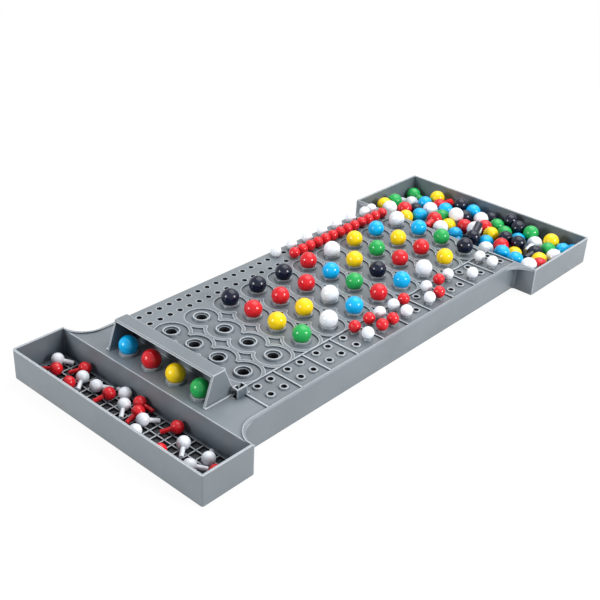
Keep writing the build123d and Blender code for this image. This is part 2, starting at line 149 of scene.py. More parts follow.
class Nodes:
    """A node tree that is filled from Python."""

    noise_roughness = 0.55
    openness_samples = 8
    rounding_samples = 6

    def __init__(self, tree: bpy.types.NodeTree) -> None:
        """Start with an empty tree."""
        self.tree = tree
        tree.nodes.clear()

    def add(
        self, kind: str, settings: dict[str, Any], inputs: dict[Any, Value], output: Any = 0
    ) -> Socket:
        """Add a node and give one of its outputs, by name or number."""
        return Socket(self, self._node(kind, settings, inputs).outputs[output])

    def finish(self, surface: Socket, kind: str = "ShaderNodeOutputMaterial") -> None:
        """Add the tree's output, showing a surface."""
        self._node(kind, {}, {"Surface": surface})

    def _node(
        self, kind: str, settings: dict[str, Any], inputs: dict[Any, Value]
    ) -> bpy.types.Node:
        """Add a node.

        Args:
            kind: The node's type.
            settings: Attributes that are set first.
            inputs: Values or links by the input's name or number.

        Returns:
            The node.
        """
        node = self.tree.nodes.new(kind)
        for name, value in settings.items():
            if name == "stops":
                self._set_stops(node, value)
            else:
                setattr(node, name, value)
        for name, value in inputs.items():
            if isinstance(value, Socket):
                self.tree.links.new(value.link, node.inputs[name])
            else:
                node.inputs[name].default_value = value
        return node

    @staticmethod
    def _set_stops(node: bpy.types.Node, stops: Stops) -> None:
        """Give a colour ramp grey stops, as pairs of place and level."""
        elements = node.color_ramp.elements
        while len(elements) < len(stops):
            elements.new(1.0)
        for element, (place, level) in zip(elements, stops):
            element.position = place
            element.color = (level, level, level, 1.0)

    def place(self) -> Socket:
        """Object coordinates."""
        return self.add("ShaderNodeTexCoord", {}, {}, "Object")

    def axes(self) -> tuple[Socket, ...]:
        """Object coordinates as three numbers."""
        inputs = {"Vector": self.place()}
        return tuple(self.add("ShaderNodeSeparateXYZ", {}, inputs, axis) for axis in "XYZ")

    def noise(self, scale: float, detail: float) -> Socket:
        """Noise over the object, with its scale in bumps to the metre."""
        inputs = {"Vector": self.place(), "Scale": scale, "Detail": detail}
        inputs["Roughness"] = self.noise_roughness
        return self.add("ShaderNodeTexNoise", {}, inputs, "Fac")

    def ramp(self, value: Value, stops: Stops) -> Socket:
        """Map a value through grey stops."""
        return self.add("ShaderNodeValToRGB", {"stops": stops}, {"Fac": value})

    def mix(self, factor: Value, first: Value, second: Value) -> Socket:
        """Mix two colours, whose sockets go by number because their names repeat."""
        inputs = {"Factor": factor, 6: first, 7: second}
        return self.add("ShaderNodeMix", {"data_type": "RGBA"}, inputs, 2)

    def blend(self, factor: Value, first: Socket, second: Socket) -> Socket:
        """Mix two surfaces."""
        return self.add("ShaderNodeMixShader", {}, {0: factor, 1: first, 2: second})

    def bump(self, height: Value, depth: float, normal: Optional[Value] = None) -> Socket:
        """Turn a height into a normal, with its depth in metres."""
        inputs: dict[Any, Value] = {"Height": height, "Distance": depth, "Strength": 1.0}
        if normal is not None:
            inputs["Normal"] = normal
        return self.add("ShaderNodeBump", {}, inputs)

    def seen(self) -> Socket:
        """One for camera, glossy and transmission rays, nought for the rest."""
        paths = ("Is Camera Ray", "Is Glossy Ray", "Is Transmission Ray")
        total = sum(self.add("ShaderNodeLightPath", {}, {}, path) for path in paths)
        return self.add("ShaderNodeMath", {"operation": "MINIMUM"}, {0: total, 1: 1.0})

    def openness(self, distance: float, inside: bool = False) -> Socket:
        """Measure how open a place is.

        Args:
            distance: How far to look.
            inside: Whether to look into the solid instead of out of it.

        Returns:
            From nought where it is closed in to one where it is clear.
        """
        settings = {"samples": self.openness_samples, "inside": inside, "only_local": True}
        return self.add("ShaderNodeAmbientOcclusion", settings, {"Distance": distance}, "AO")

    def rounded(self, radius: float) -> Socket:
        """Normal that softens sharp edges over a radius in metres."""
        return self.add("ShaderNodeBevel", {"samples": self.rounding_samples}, {"Radius": radius})


def rgba(colour: Colour, share: float = 1.0) -> tuple[float, float, float, float]:
    """Colour times a share, with full alpha."""
    return (*(min(1.0, part * share) for part in colour), 1.0)


# ---------------------------------------------------------------- places on the board


@dataclass(frozen=True)
class HoleRows:
    """Round peg holes in rows across the board, mirrored about a middle line.

    Each offset folds the row over once more: one gives two columns of holes, two give four.
    """

    first: float
    last: float
    pitch: float
    middle: float
    offsets: tuple[float, ...]
    radius: float
    mouth: float
    half_gap: float = 0.0
    end_share: float = 0.45

    def mask(self, x: Socket, y: Socket, z: Socket) -> Socket:
        """Mark the walls of the holes.

        Args:
            x: Place along the board.
            y: Place across the board.
            z: Height.

        Returns:
            One inside the holes and below their mouths, else nought.
        """
        along = (x - self.first).folded(self.pitch / 2) - self.half_gap
        across = y - self.middle
        for offset in self.offsets:
            across = abs(across) - offset
        margin = self.end_share * self.pitch
        beside = (x > self.first - margin) * (x < self.last + margin)
        return (along * along + across * across < self.radius**2) * (z < self.mouth) * beside


@dataclass(frozen=True)
class Block:
    """A box, mirrored about a middle line along the board. Its y counts from that line."""

    low: Place
    high: Place
    middle: float = 0.0

    def mask(self, x: Socket, y: Socket, z: Socket) -> Socket:
        """Mark what lies in the box.

        Args:
            x: Place along the board.
            y: Place across the board.
            z: Height.

        Returns:
            One inside the box, else nought.
        """
        inside = (z > self.low[2]) * (z < self.high[2])
        for part, low, high in zip((x, abs(y - self.middle)), self.low, self.high):
            inside = inside * (part > low) * (part < high)
        return inside

    def halves(self) -> list[tuple[Place, Place]]:
        """Low and high corner of the box on each side of the middle line."""
        (west, near, foot), (east, far, top) = self.low, self.high
        spans = ((self.middle - far, self.middle - near), (self.middle + near, self.middle + far))
        return [((west, start, foot), (east, end, top)) for start, end in spans]


@dataclass(frozen=True)
class BoardPlan:
    """The board's driving sizes, as in the CAD model, and the places that follow from them."""

    height: float = 20.0 * MM
    deck_plate: float = 3.4 * MM
    relief_depth: float = 0.9 * MM
    recess_rim: float = 2.0 * MM
    ledge_length: float = 28.8 * MM
    flare_radius: float = 15.3 * MM

    near_tray_length: float = 34.7 * MM
    far_tray_length: float = 73.5 * MM
    tray_wall: float = 1.2 * MM
    near_tray_floor: float = 2.2 * MM
    cell_foot: float = 0.3 * MM

    row_count: int = 10
    row_pitch: float = 24.33 * MM
    first_row_inset: float = 43.3 * MM
    last_row_margin: float = 13.5 * MM
    secret_row_inset: float = 11.1 * MM
    column_count: int = 4
    column_pitch: float = 20.0 * MM
    star_radius: float = 12.65 * MM

    key_margin: float = 14.33 * MM
    key_offset: float = 20.77 * MM
    key_shift: float = 0.55 * MM
    key_spacing_x: float = 10.46 * MM
    key_spacing_y: float = 10.2 * MM
    key_panel_inset: float = 9.6 * MM
    panel_ridge: float = 0.9 * MM

    score_offset: float = 15.19 * MM
    score_row_gap: float = 9.96 * MM
    score_margin: float = 7.15 * MM
    score_pitch: float = 8.01 * MM
    score_lead: float = 3.52 * MM
    score_count: int = 29

    # Painted shade in the holes: how wide it reaches, and how far from the top its mouth lies.
    code_hole_shade: float = 3.4 * MM
    key_hole_shade: float = 1.85 * MM
    code_mouth_rise: float = -0.34 * MM
    key_mouth_rise: float = 0.15 * MM
    score_mouth_rise: float = -0.05 * MM

    @property
    def rows_length(self) -> float:
        """Distance from the first code row to the last."""
        return (self.row_count - 1) * self.row_pitch

    @property
    def columns_width(self) -> float:
        """Distance from the first code column to the last."""
        return (self.column_count - 1) * self.column_pitch

    @property
    def length(self) -> float:
        """Length of the whole board."""
        deck = self.first_row_inset + self.rows_length + self.last_row_margin
        return self.near_tray_length + deck + self.far_tray_length

    @property
    def deck_width(self) -> float:
        """Width of the deck between the trays."""
        keys = self.key_margin + self.key_offset
        scores = self.score_offset + self.score_row_gap + self.score_margin
        return keys + self.columns_width + scores

    @property
    def ledge_x(self) -> float:
        """Where the near tray ends and the ledge starts."""
        return self.near_tray_length - self.length / 2

    @property
    def step_x(self) -> float:
        """Where the ledge ends and the deck starts."""
        return self.ledge_x + self.ledge_length

    @property
    def far_tray_x(self) -> float:
        """Where the deck ends and the far tray starts."""
        return self.length / 2 - self.far_tray_length

    @property
    def first_row_x(self) -> float:
        """The code row beside the shield."""
        return self.ledge_x + self.first_row_inset

    @property
    def last_row_x(self) -> float:
        """The code row beside the far tray."""
        return self.first_row_x + self.rows_length

    @property
    def key_y(self) -> float:
        """Middle of the key holes."""
        return self.key_margin - self.deck_width / 2

    @property
    def front_column_y(self) -> float:
        """The code column beside the key holes."""
        return self.key_y + self.key_offset

    @property
    def field_y(self) -> float:
        """Middle of the code columns."""
        return self.front_column_y + self.columns_width / 2

    @property
    def floor_z(self) -> float:
        """Floor of the sunk deck."""
        return self.height - self.relief_depth

    def peg_holes(self) -> tuple[HoleRows, ...]:
        """The code, secret, key and score holes, a hair wider than they are, where shade is
        painted.
        """
        guess = HoleRows(
            first=self.first_row_x,
            last=self.last_row_x,
            pitch=self.row_pitch,
            middle=self.field_y,
            offsets=(self.column_pitch, self.column_pitch / 2),
            radius=self.code_hole_shade,
            mouth=self.height + self.code_mouth_rise,
        )
        secret_x = self.ledge_x + self.secret_row_inset
        secret = replace(guess, first=secret_x, last=secret_x)
        key = HoleRows(
            first=self.first_row_x + self.key_shift,
            last=self.last_row_x + self.key_shift,
            pitch=self.row_pitch,
            middle=self.key_y,
            offsets=(self.key_spacing_y / 2,),
            radius=self.key_hole_shade,
            mouth=self.height + self.key_mouth_rise,
            half_gap=self.key_spacing_x / 2,
        )
        first_score_x = self.first_row_x - self.score_lead
        inner_score_y = self.field_y + self.columns_width / 2 + self.score_offset
        score = HoleRows(
            first=first_score_x,
            last=first_score_x + (self.score_count - 1) * self.score_pitch,
            pitch=self.score_pitch,
            middle=inner_score_y + self.score_row_gap / 2,
            offsets=(self.score_row_gap / 2,),
            radius=self.key_hole_shade,
            mouth=self.height + self.score_mouth_rise,
        )
        return guess, secret, key, score

    def lattice_cells(self) -> Block:
        """The cells between the ribs of the near tray's floor."""
        half_width = self.deck_width / 2 + self.flare_radius - self.tray_wall
        return Block(
            (self.tray_wall - self.length / 2 + SKIN, -SKIN, self.cell_foot),
            (self.ledge_x - SKIN, half_width - SKIN, self.near_tray_floor - SKIN),
        )

    def deck_relief(self) -> Block:
        """The sunk floors of the deck."""
        half_width = self.deck_width / 2 - self.recess_rim
        return Block(
            (self.step_x + SKIN, -SKIN, self.floor_z - SKIN),
            (self.far_tray_x - SKIN, half_width + SKIN, self.height),
        )

    def under_deck(self) -> Block:
        """The table below the deck."""
        half_width = self.deck_width / 2 - self.recess_rim
        return Block((self.ledge_x, -SKIN, -SKIN), (self.far_tray_x, half_width, SKIN))


BOARD = BoardPlan()


@dataclass(frozen=True)
class HingePosts:
    """The posts at both ends of the shield: a pit in the front face, a hollow in the top."""

    plan: BoardPlan = BOARD
    hinge_inset: float = 0.8 * MM
    front: float = 5.1 * MM
    back: float = 2.3 * MM
    height: float = 5.9 * MM
    inner: float = 41.8 * MM
    thickness: float = 4.4 * MM
    pit_face: float = 1.0 * MM
    pit_length: float = 2.5 * MM
    pit_depth: float = 2.9 * MM
    bar: float = 0.9 * MM
    hollow_front_wall: float = 1.085 * MM
    hollow_back_wall: float = 0.615 * MM
    hollow_inner_wall: float = 0.5 * MM
    hollow_outer_wall: float = 1.0 * MM
    hollow_floor: float = 1.3 * MM
    hollow_rim: float = 0.4 * MM

    @property
    def outer(self) -> float:
        """Distance of the outer faces from the middle of the field."""
        return self.inner + self.thickness

    @property
    def front_x(self) -> float:
        """The posts' front faces."""
        return self.plan.step_x - self.hinge_inset - self.front

    @property
    def top_z(self) -> float:
        """The posts' tops."""
        return self.plan.floor_z + self.height

    def hollow(self) -> Block:
        """The hollow in the top of each post."""
        back_x = self.front_x + self.front + self.back
        return Block(
            (
                self.front_x + self.hollow_front_wall,
                self.inner + self.hollow_inner_wall,
                self.plan.floor_z + self.hollow_floor,
            ),
            (back_x - self.hollow_back_wall, self.outer - self.hollow_outer_wall, self.top_z),
            self.plan.field_y,
        )

    def painted_shade_places(self) -> tuple[Block, ...]:
        """Places of painted shade: front of the pit, the pit behind it, and the hollow up to its
        rim.
        """
        foot = self.plan.height - self.plan.deck_plate - SKIN
        roof = self.top_z - self.bar - SKIN
        inner, middle = self.inner - SKIN, self.plan.field_y
        face_x = self.front_x + self.pit_face
        low, high = self.hollow().low, self.hollow().high
        return (
            Block((self.front_x - SKIN, inner, foot), (face_x, high[1], roof), middle),
            Block(
                (face_x, inner, foot),
                (self.front_x + self.pit_length + SKIN, self.inner + self.pit_depth + SKIN, roof),
                middle,
            ),
            Block(
                (low[0] - SKIN, low[1] - SKIN, low[2] - SKIN),
                (high[0] + SKIN, high[1] + SKIN, self.top_z - self.hollow_rim),
                middle,
            ),
        )


POSTS = HingePosts()


# ---------------------------------------------------------------- finishes


class Plastic(ABC):
    """The look of a plastic."""

    name: str

    @abstractmethod
    def shading(self, nodes: Nodes) -> dict[Any, Value]:
        """Give the inputs of the plastic's shader."""

    def build(self) -> bpy.types.Material:
        """Make the material."""
        material = bpy.data.materials.new(self.name)
        material.use_nodes = True
        nodes = Nodes(material.node_tree)
        nodes.finish(nodes.add("ShaderNodeBsdfPrincipled", {}, self.shading(nodes)))
        return material


@dataclass(frozen=True)
class MouldedPlastic(Plastic):
    """Satin grey plastic of the board and the shield."""

    plan: BoardPlan = BOARD
    posts: HingePosts = POSTS
    name: str = "satin_grey_plastic"
    colour: Colour = (0.146, 0.169, 0.187)
    ior: float = 1.49
    edge_radius: float = 0.35 * MM

    cloud_scale: float = 28.0
    cloud_detail: float = 4.0
    cloud_stops: Stops = ((0.3, 0.0), (0.7, 1.0))
    cloud_shares: tuple[float, float] = (0.92, 1.06)

    roughness: float = 0.22
    streak_scale: float = 252.0
    streak_roughness: float = 0.18
    grain_scale: float = 2600.0
    grain_roughness: float = 0.06
    grain_depth: float = 0.02 * MM
    fine_detail: float = 2.0

    # Painted shade: the sunk floors of the deck are darker, more so deeper down.
    relief_stops: Stops = ((0.1, 0.0), (0.95, 1.0))
    relief_shade_share: float = 0.87

    # Painted shade in corners, where the surroundings close in within the reach.
    corner_reach: float = 18.0 * MM
    corner_stops: Stops = ((0.25, 1.0), (0.85, 0.0))
    corner_shade_depth: float = 0.85
    corner_shade_colour: Colour = (0.040, 0.064, 0.092)

    # Painted shade in grooves and along the feet of walls, within a short reach.
    groove_reach: float = 2.2 * MM
    groove_stops: Stops = ((0.35, 1.0), (0.85, 0.0))
    groove_shade_depth: float = 0.8
    groove_shade_colour: Colour = (0.030, 0.042, 0.056)

    # Paler convex edges: partly wear, partly a painted highlight along the rims.
    wear_and_highlight_reach: float = 0.9 * MM
    wear_and_highlight_stops: Stops = ((0.45, 1.0), (0.92, 0.0))
    wear_and_highlight_depth: float = 0.85
    wear_and_highlight_loss_in_corners: float = 0.6
    wear_and_highlight_colour: Colour = (0.60, 0.64, 0.68)

    # Painted shade: near black in the peg holes, the posts' pits and hollows, and the lattice
    # cells.
    hollow_shade_colour: Colour = (0.004, 0.006, 0.010)
    hollow_roughness: float = 0.5
    cell_shade_share: float = 0.90

    def shading(self, nodes: Nodes) -> dict[Any, Value]:
        """Paint shade into the hollows, and vary the roughness with streaks and grain.

        Args:
            nodes: The material's nodes.

        Returns:
            The shader's inputs.
        """
        place = nodes.axes()
        # Painted shade: the holes, the posts' pits and hollows and the lattice cells turn near
        # black.
        painted_shade_places = self.plan.peg_holes() + self.posts.painted_shade_places()
        hollow = sum(part.mask(*place) for part in painted_shade_places)
        hollow = hollow + self.plan.lattice_cells().mask(*place) * self.cell_shade_share
        colour = self._open_colour(nodes, place)
        grain = nodes.noise(self.grain_scale, self.fine_detail)
        streaks = nodes.noise(self.streak_scale, self.fine_detail)
        rough = streaks * self.streak_roughness + grain * self.grain_roughness
        return {
            "Base Color": nodes.mix(hollow, colour, rgba(self.hollow_shade_colour)),
            "Roughness": rough + hollow * self.hollow_roughness + self.roughness,
            "Normal": nodes.bump(grain, self.grain_depth, nodes.rounded(self.edge_radius)),
            "IOR": self.ior,
        }

    def _open_colour(self, nodes: Nodes, place: Sequence[Socket]) -> Socket:
        """Cloud the grey, paint shade on floors, corners and grooves, and wear and highlight on
        edges.

        Args:
            nodes: The material's nodes.
            place: Object coordinates.

        Returns:
            The colour outside the hollows.
        """
        clouds = nodes.ramp(nodes.noise(self.cloud_scale, self.cloud_detail), self.cloud_stops)
        dark, pale = (rgba(self.colour, share) for share in self.cloud_shares)
        colour = nodes.mix(clouds, dark, pale)
        # Painted shade on the deck's sunk floors, darker the deeper they lie.
        depth = (self.plan.height - place[2]) / self.plan.relief_depth
        sunk = nodes.ramp(depth, self.relief_stops) * self.plan.deck_relief().mask(*place)
        colour = nodes.mix(sunk, colour, rgba(self.colour, self.relief_shade_share))
        # Painted shade where corners close in.
        corners = nodes.ramp(nodes.openness(self.corner_reach), self.corner_stops)
        colour = nodes.mix(corners * self.corner_shade_depth, colour, rgba(self.corner_shade_colour))
        # Painted shade in the grooves.
        grooves = nodes.ramp(nodes.openness(self.groove_reach), self.groove_stops)
        colour = nodes.mix(grooves * self.groove_shade_depth, colour, rgba(self.groove_shade_colour))
        # Pale convex edges, partly wear and partly a painted highlight, weaker in the corners.
        edge_wear_and_highlight = nodes.ramp(nodes.openness(self.wear_and_highlight_reach, inside=True), self.wear_and_highlight_stops)
        edge_wear_and_highlight = edge_wear_and_highlight * (self.wear_and_highlight_depth - corners * self.wear_and_highlight_loss_in_corners)
        return nodes.mix(edge_wear_and_highlight, colour, rgba(self.wear_and_highlight_colour))


@dataclass(frozen=True)
class GlossPlastic(Plastic):
    """Polished plastic of one colour of peg."""

    name: str
    colour: Colour
    ior: float = 1.12
    coat: float = 0.60
    coat_roughness: float = 0.17

    flow_scale: float = 140.0
    flow_detail: float = 3.0
    flow_stops: Stops = ((0.3, 0.0), (0.7, 1.0))
    flow_shares: tuple[float, float] = (0.93, 1.04)

    roughness: float = 0.28
    scuff_scale: float = 900.0
    scuff_roughness: float = 0.06
    ripple_scale: float = 420.0
    ripple_depth: float = 0.02 * MM
    fine_detail: float = 2.0

    def shading(self, nodes: Nodes) -> dict[Any, Value]:
        """Vary the colour as it flowed, with fine scuffs and ripples under the polish.

        Args:
            nodes: The material's nodes.

        Returns:
            The shader's inputs.
        """
        flow = nodes.ramp(nodes.noise(self.flow_scale, self.flow_detail), self.flow_stops)
        dark, pale = (rgba(self.colour, share) for share in self.flow_shares)
        scuffs = nodes.noise(self.scuff_scale, self.fine_detail)
        ripples = nodes.noise(self.ripple_scale, self.fine_detail)
        return {
            "Base Color": nodes.mix(flow, dark, pale),
            "Roughness": scuffs * self.scuff_roughness + self.roughness,
            "Normal": nodes.bump(ripples, self.ripple_depth),
            "IOR": self.ior,
            "Coat Weight": self.coat,
            "Coat Roughness": self.coat_roughness,
        }


PLASTICS: dict[Finish, Plastic] = {
    Finish.GREY: MouldedPlastic(),
    Finish.RED: GlossPlastic("gloss_red_plastic", (0.590, 0.010, 0.017)),
    Finish.YELLOW: GlossPlastic("gloss_yellow_plastic", (0.850, 0.580, 0.003)),
    Finish.GREEN: GlossPlastic("gloss_green_plastic", (0.014, 0.345, 0.075)),
    Finish.BLUE: GlossPlastic("gloss_blue_plastic", (0.000, 0.390, 0.780)),
    Finish.BLACK: GlossPlastic("gloss_black_plastic", (0.001, 0.004, 0.018)),
    Finish.WHITE: GlossPlastic("gloss_white_plastic", (0.710, 0.740, 0.790)),
}


class Wardrobe:
    """Makes each material once and hands it out."""

    def __init__(self) -> None:
        """Start empty."""
        self._made: dict[Finish, bpy.types.Material] = {}

    def material(self, finish: Finish) -> bpy.types.Material:
        """Give the material of a finish, making it at its first use."""
        if finish not in self._made:
            self._made[finish] = PLASTICS[finish].build()
        return self._made[finish]


# ---------------------------------------------------------------- modelling helpers


def deselect() -> None:
    """Leave nothing selected, out of edit mode."""
    if bpy.context.object and bpy.context.object.mode != "OBJECT":
        bpy.ops.object.mode_set(mode="OBJECT")
    bpy.ops.object.select_all(action="DESELECT")


def make_active(thing: bpy.types.Object) -> None:
    """Select one object alone and make it active."""
    deselect()
    thing.select_set(True)
    bpy.context.view_layer.objects.active = thing


def join(things: Sequence[bpy.types.Object]) -> bpy.types.Object:
    """Join objects into the first of them."""
    make_active(things[0])
    for thing in things:
        thing.select_set(True)
    if len(things) > 1:
        bpy.ops.object.join()
    return things[0]


def add_box(low: Place, high: Place) -> bpy.types.Object:
    """Add a box between two corners."""
    corners = (Vector(low), Vector(high))
    deselect()
    bpy.ops.mesh.primitive_cube_add(
        size=1.0, location=(corners[0] + corners[1]) / 2, scale=corners[1] - corners[0]
    )
    bpy.ops.object.transform_apply(location=True, rotation=True, scale=True)
    return bpy.context.object


def add_cylinder(radius: float, half_depth: float, facets: int, middle: Place) -> bpy.types.Object:
    """Add an upright cylinder round a middle."""
    deselect()
    bpy.ops.mesh.primitive_cylinder_add(
        vertices=facets, radius=radius, depth=2 * half_depth, location=middle
    )
    return bpy.context.object


def cut(thing: bpy.types.Object, cutter: bpy.types.Object) -> None:
    """Take a cutter out of an object with a modifier, and remove the cutter."""
    make_active(thing)
    modifier = thing.modifiers.new("cut", "BOOLEAN")
    modifier.object = cutter
    modifier.operation = "DIFFERENCE"
    modifier.solver = "EXACT"
    bpy.ops.object.modifier_apply(modifier=modifier.name)
    bpy.data.objects.remove(cutter)


def sort_mesh(thing: bpy.types.Object) -> None:
    """Put vertices and faces in order of place, because a spin leaves them in a chance order."""
    mesh = bmesh.new()
    mesh.from_mesh(thing.data)
    points = sorted(mesh.verts, key=lambda point: tuple(point.co))
    faces = sorted(mesh.faces, key=lambda face: tuple(face.calc_center_median()))
    for elements, wanted in ((mesh.verts, points), (mesh.faces, faces)):
        rank = {element: number for number, element in enumerate(wanted)}
        elements.sort(key=rank.get)
    mesh.to_mesh(thing.data)
    mesh.free()


def select_points(thing: bpy.types.Object, wanted: Callable[[Vector], bool]) -> None:
    """In edit mode, select the vertices at the wanted places.

    Args:
        thing: The object in edit mode.
        wanted: Says of a place whether it is wanted.
    """
    mesh = bmesh.from_edit_mesh(thing.data)
    bpy.ops.mesh.select_all(action="DESELECT")
    bpy.ops.mesh.select_mode(type="VERT")
    for point in mesh.verts:
        if wanted(point.co):
            point.select_set(True)
    mesh.select_flush(True)
    bmesh.update_edit_mesh(thing.data)


def dress(
    thing: bpy.types.Object, finish: Finish, node: str, wardrobe: Wardrobe
) -> bpy.types.Object:
    """Give a finished piece its material and body, in place of its CAD node.

    Args:
        thing: The piece.
        finish: Its finish.
        node: The CAD node that it replaces.
        wardrobe: Where materials come from.

    Returns:
        The piece.
    """
    bodies = frame["record"]["behaviour"]["bodies"]
    body = next(body for body, nodes in bodies.items() if node in nodes)
    thing.data.materials.clear()
    thing.data.materials.append(wardrobe.material(finish))
    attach(thing, body)
    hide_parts(node)
    log.info("%s on %s, %d faces", thing.name, body, len(thing.data.polygons))
    return thing


# ---------------------------------------------------------------- moulded parts


@dataclass(frozen=True)
class FinePockets:
    """The board's finest recesses: beside the key panels, and the hollows of the hinge posts."""

    plan: BoardPlan = BOARD
    posts: HingePosts = POSTS
    clear: float = 26.0 * MM
    ridge_facets: int = 96
    step_rim: float = 0.985 * MM
    post_gap: float = 0.3 * MM

    def build(self) -> bpy.types.Object:
        """Model everything that is cut from the board.

        Returns:
            One object of separate solids.
        """
        corners = self.posts.hollow().halves()
        hollows = [add_box(low, (*high[:2], self.clear)) for low, high in corners]
        return join([self._row_pockets(), self._first_panel(), *hollows])

    def _row_pockets(self) -> bpy.types.Object:
        """Three-cornered pockets between the round channel ridges and the key panels."""
        plan = self.plan
        foot = plan.key_y + plan.key_panel_inset + plan.panel_ridge
        pockets = add_box(
            (plan.first_row_x, foot, plan.floor_z),
            (plan.last_row_x, plan.front_column_y, self.clear),
        )
        for row in range(plan.row_count):
            middle = (plan.first_row_x + row * plan.row_pitch, plan.front_column_y, 0.0)
            ridge = add_cylinder(plan.star_radius, 2 * self.clear, self.ridge_facets, middle)
            cut(pockets, ridge)
        return pockets

    def _first_panel(self) -> bpy.types.Object:
        """Stretch of the first key panel's floor that runs on to the step."""
        plan = self.plan
        half_panel = (plan.row_pitch - plan.panel_ridge) / 2
        panel_x = plan.first_row_x + plan.key_shift - half_panel
        top = plan.field_y - self.posts.outer - self.post_gap
        return add_box(
            (plan.step_x + self.step_rim, plan.recess_rim - plan.deck_width / 2, plan.floor_z),
            (panel_x + SKIN, top, self.clear),
        )


@dataclass(frozen=True)
class MouldedPart:
    """A grey moulding: the CAD shape with its facets smoothed."""

    node: str
    name: str
    pockets: Optional[FinePockets] = None
    smooth_angle: float = math.radians(32)

    def build(self, wardrobe: Wardrobe) -> bpy.types.Object:
        """Copy the CAD mesh, merge it, cut the pockets and smooth the round faces.

        Args:
            wardrobe: Where materials come from.

        Returns:
            The piece.
        """
        thing = bpy.data.objects.new(self.name, frame["nodes"][self.node].data.copy())
        bpy.context.scene.collection.objects.link(thing)
        make_active(thing)
        bpy.ops.object.mode_set(mode="EDIT")
        bpy.ops.mesh.select_all(action="SELECT")
        bpy.ops.mesh.remove_doubles(threshold=MERGE_DISTANCE)
        bpy.ops.object.mode_set(mode="OBJECT")
        bpy.ops.mesh.customdata_custom_splitnormals_clear()
        if self.pockets:
            cut(thing, self.pockets.build())
        make_active(thing)
        bpy.ops.object.shade_smooth_by_angle(angle=self.smooth_angle)
        return dress(thing, Finish.GREY, self.node, wardrobe)


# ---------------------------------------------------------------- pegs


@dataclass(frozen=True)
class PegShape:
    """A peg drawn with its ball's middle at the origin and its stem down.

    The neck's curve is given as radius and fall, both against the stem's radius. The notch in the
    end is a split across a code peg and a round dimple in a key peg.
    """

    kind: PegKind
    node_starts: tuple[str, ...]
    ball_radius: float
    stem_radius: float
    stem_length: float
    end_chamfer: float
    notch_reach: float
    notch_depth: float
    segments: int = 40
    dimple_facets: int = 16
    neck_share: float = 1.12
    neck_curve: Stops = ((1.04, 0.06), (1.0, 0.168))
    chamfer_bend: float = 0.3
    axis_share: float = 0.001
    seam_share: float = 0.002
    same_place: float = 0.0001 * MM
    smooth_angle: float = math.radians(35)

    @property
    def length(self) -> float:
        """Distance from the ball's middle to the stem's end."""
        return self.ball_radius + self.stem_length

    def build(self) -> bpy.types.Object:
        """Turn the outline round the axis, then cut the stem's end.

        Returns:
            The peg, at the origin.
        """
        deselect()
        bpy.ops.mesh.primitive_circle_add(
            vertices=2 * self.segments, radius=self.ball_radius, rotation=(math.pi / 2, 0, 0)
        )
        thing = bpy.context.object
        thing.name = f"{self.kind.value}_peg_shape"
        bpy.ops.object.transform_apply(location=True, rotation=True, scale=True)
        bpy.ops.object.mode_set(mode="EDIT")
        axis_side = -self.axis_share * self.ball_radius
        select_points(thing, lambda co: co.x < axis_side)
        bpy.ops.mesh.delete(type="VERT")
        neck = self.stem_radius * self.neck_share
        select_points(thing, lambda co: co.x < neck and co.z < 0)
        bpy.ops.mesh.delete(type="VERT")
        self._draw_stem(thing)
        bpy.ops.mesh.select_all(action="SELECT")
        bpy.ops.mesh.spin(steps=self.segments, angle=2 * math.pi, center=(0, 0, 0), axis=(0, 0, 1))
        bpy.ops.mesh.select_all(action="SELECT")
        bpy.ops.mesh.remove_doubles(threshold=self.seam_share * self.ball_radius)
        bpy.ops.mesh.normals_make_consistent(inside=False)
        bpy.ops.object.mode_set(mode="OBJECT")
        sort_mesh(thing)
        cut(thing, self._end_cutter())
        make_active(thing)
        bpy.ops.object.shade_smooth_by_angle(angle=self.smooth_angle)
        return thing

    def _draw_stem(self, thing: bpy.types.Object) -> None:
        """Extrude the outline's lower end along the stem to the axis.

        Args:
            thing: The outline, in edit mode.
        """
        mesh = bmesh.from_edit_mesh(thing.data)
        here = min(mesh.verts, key=lambda point: (point.co.z, point.co.x)).co.copy()
        stem, end, chamfer = self.stem_radius, -self.length, self.end_chamfer
        bend = chamfer * self.chamfer_bend
        stops = [(stem * share, here.z - stem * fall) for share, fall in self.neck_curve]
        stops += [(stem, end + chamfer), (stem - bend, end + bend)]
        stops += [(stem - chamfer, end), (0.0, end)]
        for radius, height in stops:
            place = Vector((radius, 0, height))
            select_points(thing, lambda co, here=here: (co - here).length < self.same_place)
            bpy.ops.mesh.extrude_vertices_move(
                TRANSFORM_OT_translate={"value": tuple(place - here)}
            )
            here = place

    def _end_cutter(self) -> bpy.types.Object:
        """The split across a code peg's end, or the dimple in a key peg's."""
        end = Vector((0, 0, -self.length))
        if self.kind is PegKind.CODE:
            half = Vector((2 * self.stem_radius, self.notch_reach, self.notch_depth))
            return add_box(end - half, end + half)
        return add_cylinder(self.notch_reach, self.notch_depth, self.dimple_facets, end)


